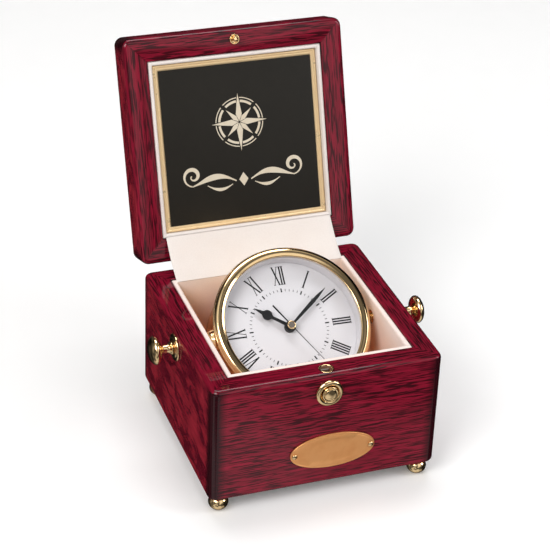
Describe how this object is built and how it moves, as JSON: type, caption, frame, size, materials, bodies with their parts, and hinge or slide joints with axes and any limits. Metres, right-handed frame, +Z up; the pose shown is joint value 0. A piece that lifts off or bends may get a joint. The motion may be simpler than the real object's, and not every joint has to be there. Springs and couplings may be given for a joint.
{
  "type": "boxed desk clock",
  "caption": "Boxed desk clock: lacquered wooden case on ball feet, hinged lid, push-button catch, and a round quartz clock that tilts on side pivots.",
  "frame": {"origin": "under the middle of the whole piece, at the floor, with the lid open", "axes": "+Z up, front of the clock towards -Y, +X to the right"},
  "size_m": [0.1808, 0.2168, 0.2279],
  "materials": {
    "rosewood": "deep red high-gloss lacquer over streaked rosewood veneer",
    "brass": "polished and lacquered",
    "satin_brass": "satin brushed",
    "gilt": "bright gilt",
    "leatherette": "cream fine-grained leatherette",
    "black_lacquer": "satin black",
    "black_plastic": "moulded",
    "white_enamel": "smooth white paint",
    "black_paint": "semi-gloss black",
    "glass": "clear mineral glass",
    "steel": "plain",
    "copper": "enamelled winding wire",
    "battery_jacket": "plain printed sleeve without lettering",
    "circuit_board": "green solder mask",
    "white_plastic": "moulded",
    "fibreboard": "raw board"
  },
  "bodies": {
    "case": {"case_shell": "rosewood", "case_floor_panel": "fibreboard", "case_lining": "leatherette", "foot_front_left": "brass", "foot_front_right": "brass", "foot_back_left": "brass", "foot_back_right": "brass", "left_rosette_bush": "brass", "right_rosette_bush": "brass", "catch_escutcheon": "brass", "catch_socket": "brass", "catch_spring": "steel", "nameplate": "satin_brass", "nameplate_nail_left": "brass", "nameplate_nail_right": "brass", "hinge_case_leaf_left": "brass", "hinge_case_leaf_right": "brass", "hinge_pin_left": "steel", "hinge_pin_right": "steel", "hinge_web": "leatherette"},
    "lid": {"lid_shell": "rosewood", "lid_lining": "leatherette", "lid_gilt_frame": "gilt", "lid_black_plate": "black_lacquer", "lid_catch_stud": "brass", "hinge_lid_leaf_left": "brass", "hinge_lid_leaf_right": "brass"},
    "left_knob": {"left_knob": "brass"},
    "right_knob": {"right_knob": "brass"},
    "catch": {"catch_button": "brass", "catch_hook": "steel"},
    "clock": {"clock_cup": "brass", "clock_back_cover": "brass", "clock_bezel": "brass", "clock_crystal": "glass", "dial_surround": "white_enamel", "dial": "white_enamel", "pivot_boss_left": "brass", "pivot_boss_right": "brass", "movement_front": "black_plastic", "movement_back": "black_plastic", "battery": "battery_jacket", "battery_contact_left": "steel", "battery_contact_right": "steel", "motor_coil": "copper", "motor_stator": "steel", "circuit_board": "circuit_board"},
    "second_train": {"second_hand": "black_paint", "second_wheel": "white_plastic"},
    "minute_train": {"minute_hand": "black_paint", "centre_wheel": "white_plastic"},
    "hour_train": {"hour_hand": "black_paint", "hour_wheel": "white_plastic"},
    "third_wheel": {"third_wheel": "white_plastic"},
    "fifth_wheel": {"fifth_wheel": "white_plastic"},
    "rotor": {"motor_rotor": "white_plastic"},
    "motion_wheel": {"motion_wheel": "white_plastic"},
    "setting_knob": {"setting_knob": "black_plastic"}
  },
  "joints": [
    {"name": "lid_hinge", "type": "hinge", "parent": "case", "child": "lid", "pos_m": [0, 0.04107, 0.0904], "axis": [1, 0, 0], "range_deg": [0, 108.9], "deforming": ["hinge_web"]},
    {"name": "clock_tilt", "type": "hinge", "parent": "case", "child": "clock", "pos_m": [0, -0.03288, 0.0772], "axis": [1, 0, 0], "range_deg": [-39.8, 0]},
    {"name": "left_knob_turn", "type": "hinge", "parent": "case", "child": "left_knob", "pos_m": [-0.073, -0.03288, 0.0772], "axis": [1, 0, 0], "range_deg": [-180, 180]},
    {"name": "right_knob_turn", "type": "hinge", "parent": "case", "child": "right_knob", "pos_m": [0.073, -0.03288, 0.0772], "axis": [1, 0, 0], "range_deg": [-180, 180]},
    {"name": "catch_press", "type": "slide", "parent": "case", "child": "catch", "axis": [0, 1, 0], "range_m": [0, 0.0018], "stiffness_N_per_m": 400, "springref_m": -0.001, "deforming": ["catch_spring"]},
    {"name": "second_hand_turn", "type": "hinge", "parent": "clock", "child": "second_train", "pos_m": [0, -0.03506, 0.07981], "axis": [0, 0.6401, -0.7683], "continuous": true},
    {"name": "minute_hand_turn", "type": "hinge", "parent": "clock", "child": "minute_train", "pos_m": [0, -0.03506, 0.07981], "axis": [0, 0.6401, -0.7683], "continuous": true},
    {"name": "hour_hand_turn", "type": "hinge", "parent": "clock", "child": "hour_train", "pos_m": [0, -0.03506, 0.07981], "axis": [0, 0.6401, -0.7683], "continuous": true},
    {"name": "third_wheel_turn", "type": "hinge", "parent": "clock", "child": "third_wheel", "pos_m": [-0.00779, -0.0316, 0.08269], "axis": [0, 0.6401, -0.7683], "continuous": true},
    {"name": "fifth_wheel_turn", "type": "hinge", "parent": "clock", "child": "fifth_wheel", "pos_m": [0.0036, -0.03027, 0.0838], "axis": [0, 0.6401, -0.7683], "continuous": true},
    {"name": "rotor_turn", "type": "hinge", "parent": "clock", "child": "rotor", "pos_m": [0.00966, -0.02758, 0.08604], "axis": [0, 0.6401, -0.7683], "continuous": true},
    {"name": "motion_wheel_turn", "type": "hinge", "parent": "clock", "child": "motion_wheel", "pos_m": [0.00564, -0.03664, 0.0785], "axis": [0, 0.6401, -0.7683], "continuous": true},
    {"name": "setting_knob_turn", "type": "hinge", "parent": "clock", "child": "setting_knob", "pos_m": [0.01155, -0.03744, 0.07783], "axis": [0, 0.6401, -0.7683], "continuous": true}
  ],
  "couplings": [
    {"joint": "clock_tilt", "follows": "lid_hinge", "ratio": -0.36547},
    {"joint": "minute_hand_turn", "follows": "second_hand_turn", "ratio": 0.016667},
    {"joint": "hour_hand_turn", "follows": "second_hand_turn", "ratio": 0.0013889},
    {"joint": "third_wheel_turn", "follows": "second_hand_turn", "ratio": -0.13333},
    {"joint": "fifth_wheel_turn", "follows": "second_hand_turn", "ratio": -5},
    {"joint": "rotor_turn", "follows": "second_hand_turn", "ratio": 30},
    {"joint": "motion_wheel_turn", "follows": "second_hand_turn", "ratio": -0.0055556},
    {"joint": "setting_knob_turn", "follows": "second_hand_turn", "ratio": 0.016667}
  ]
}
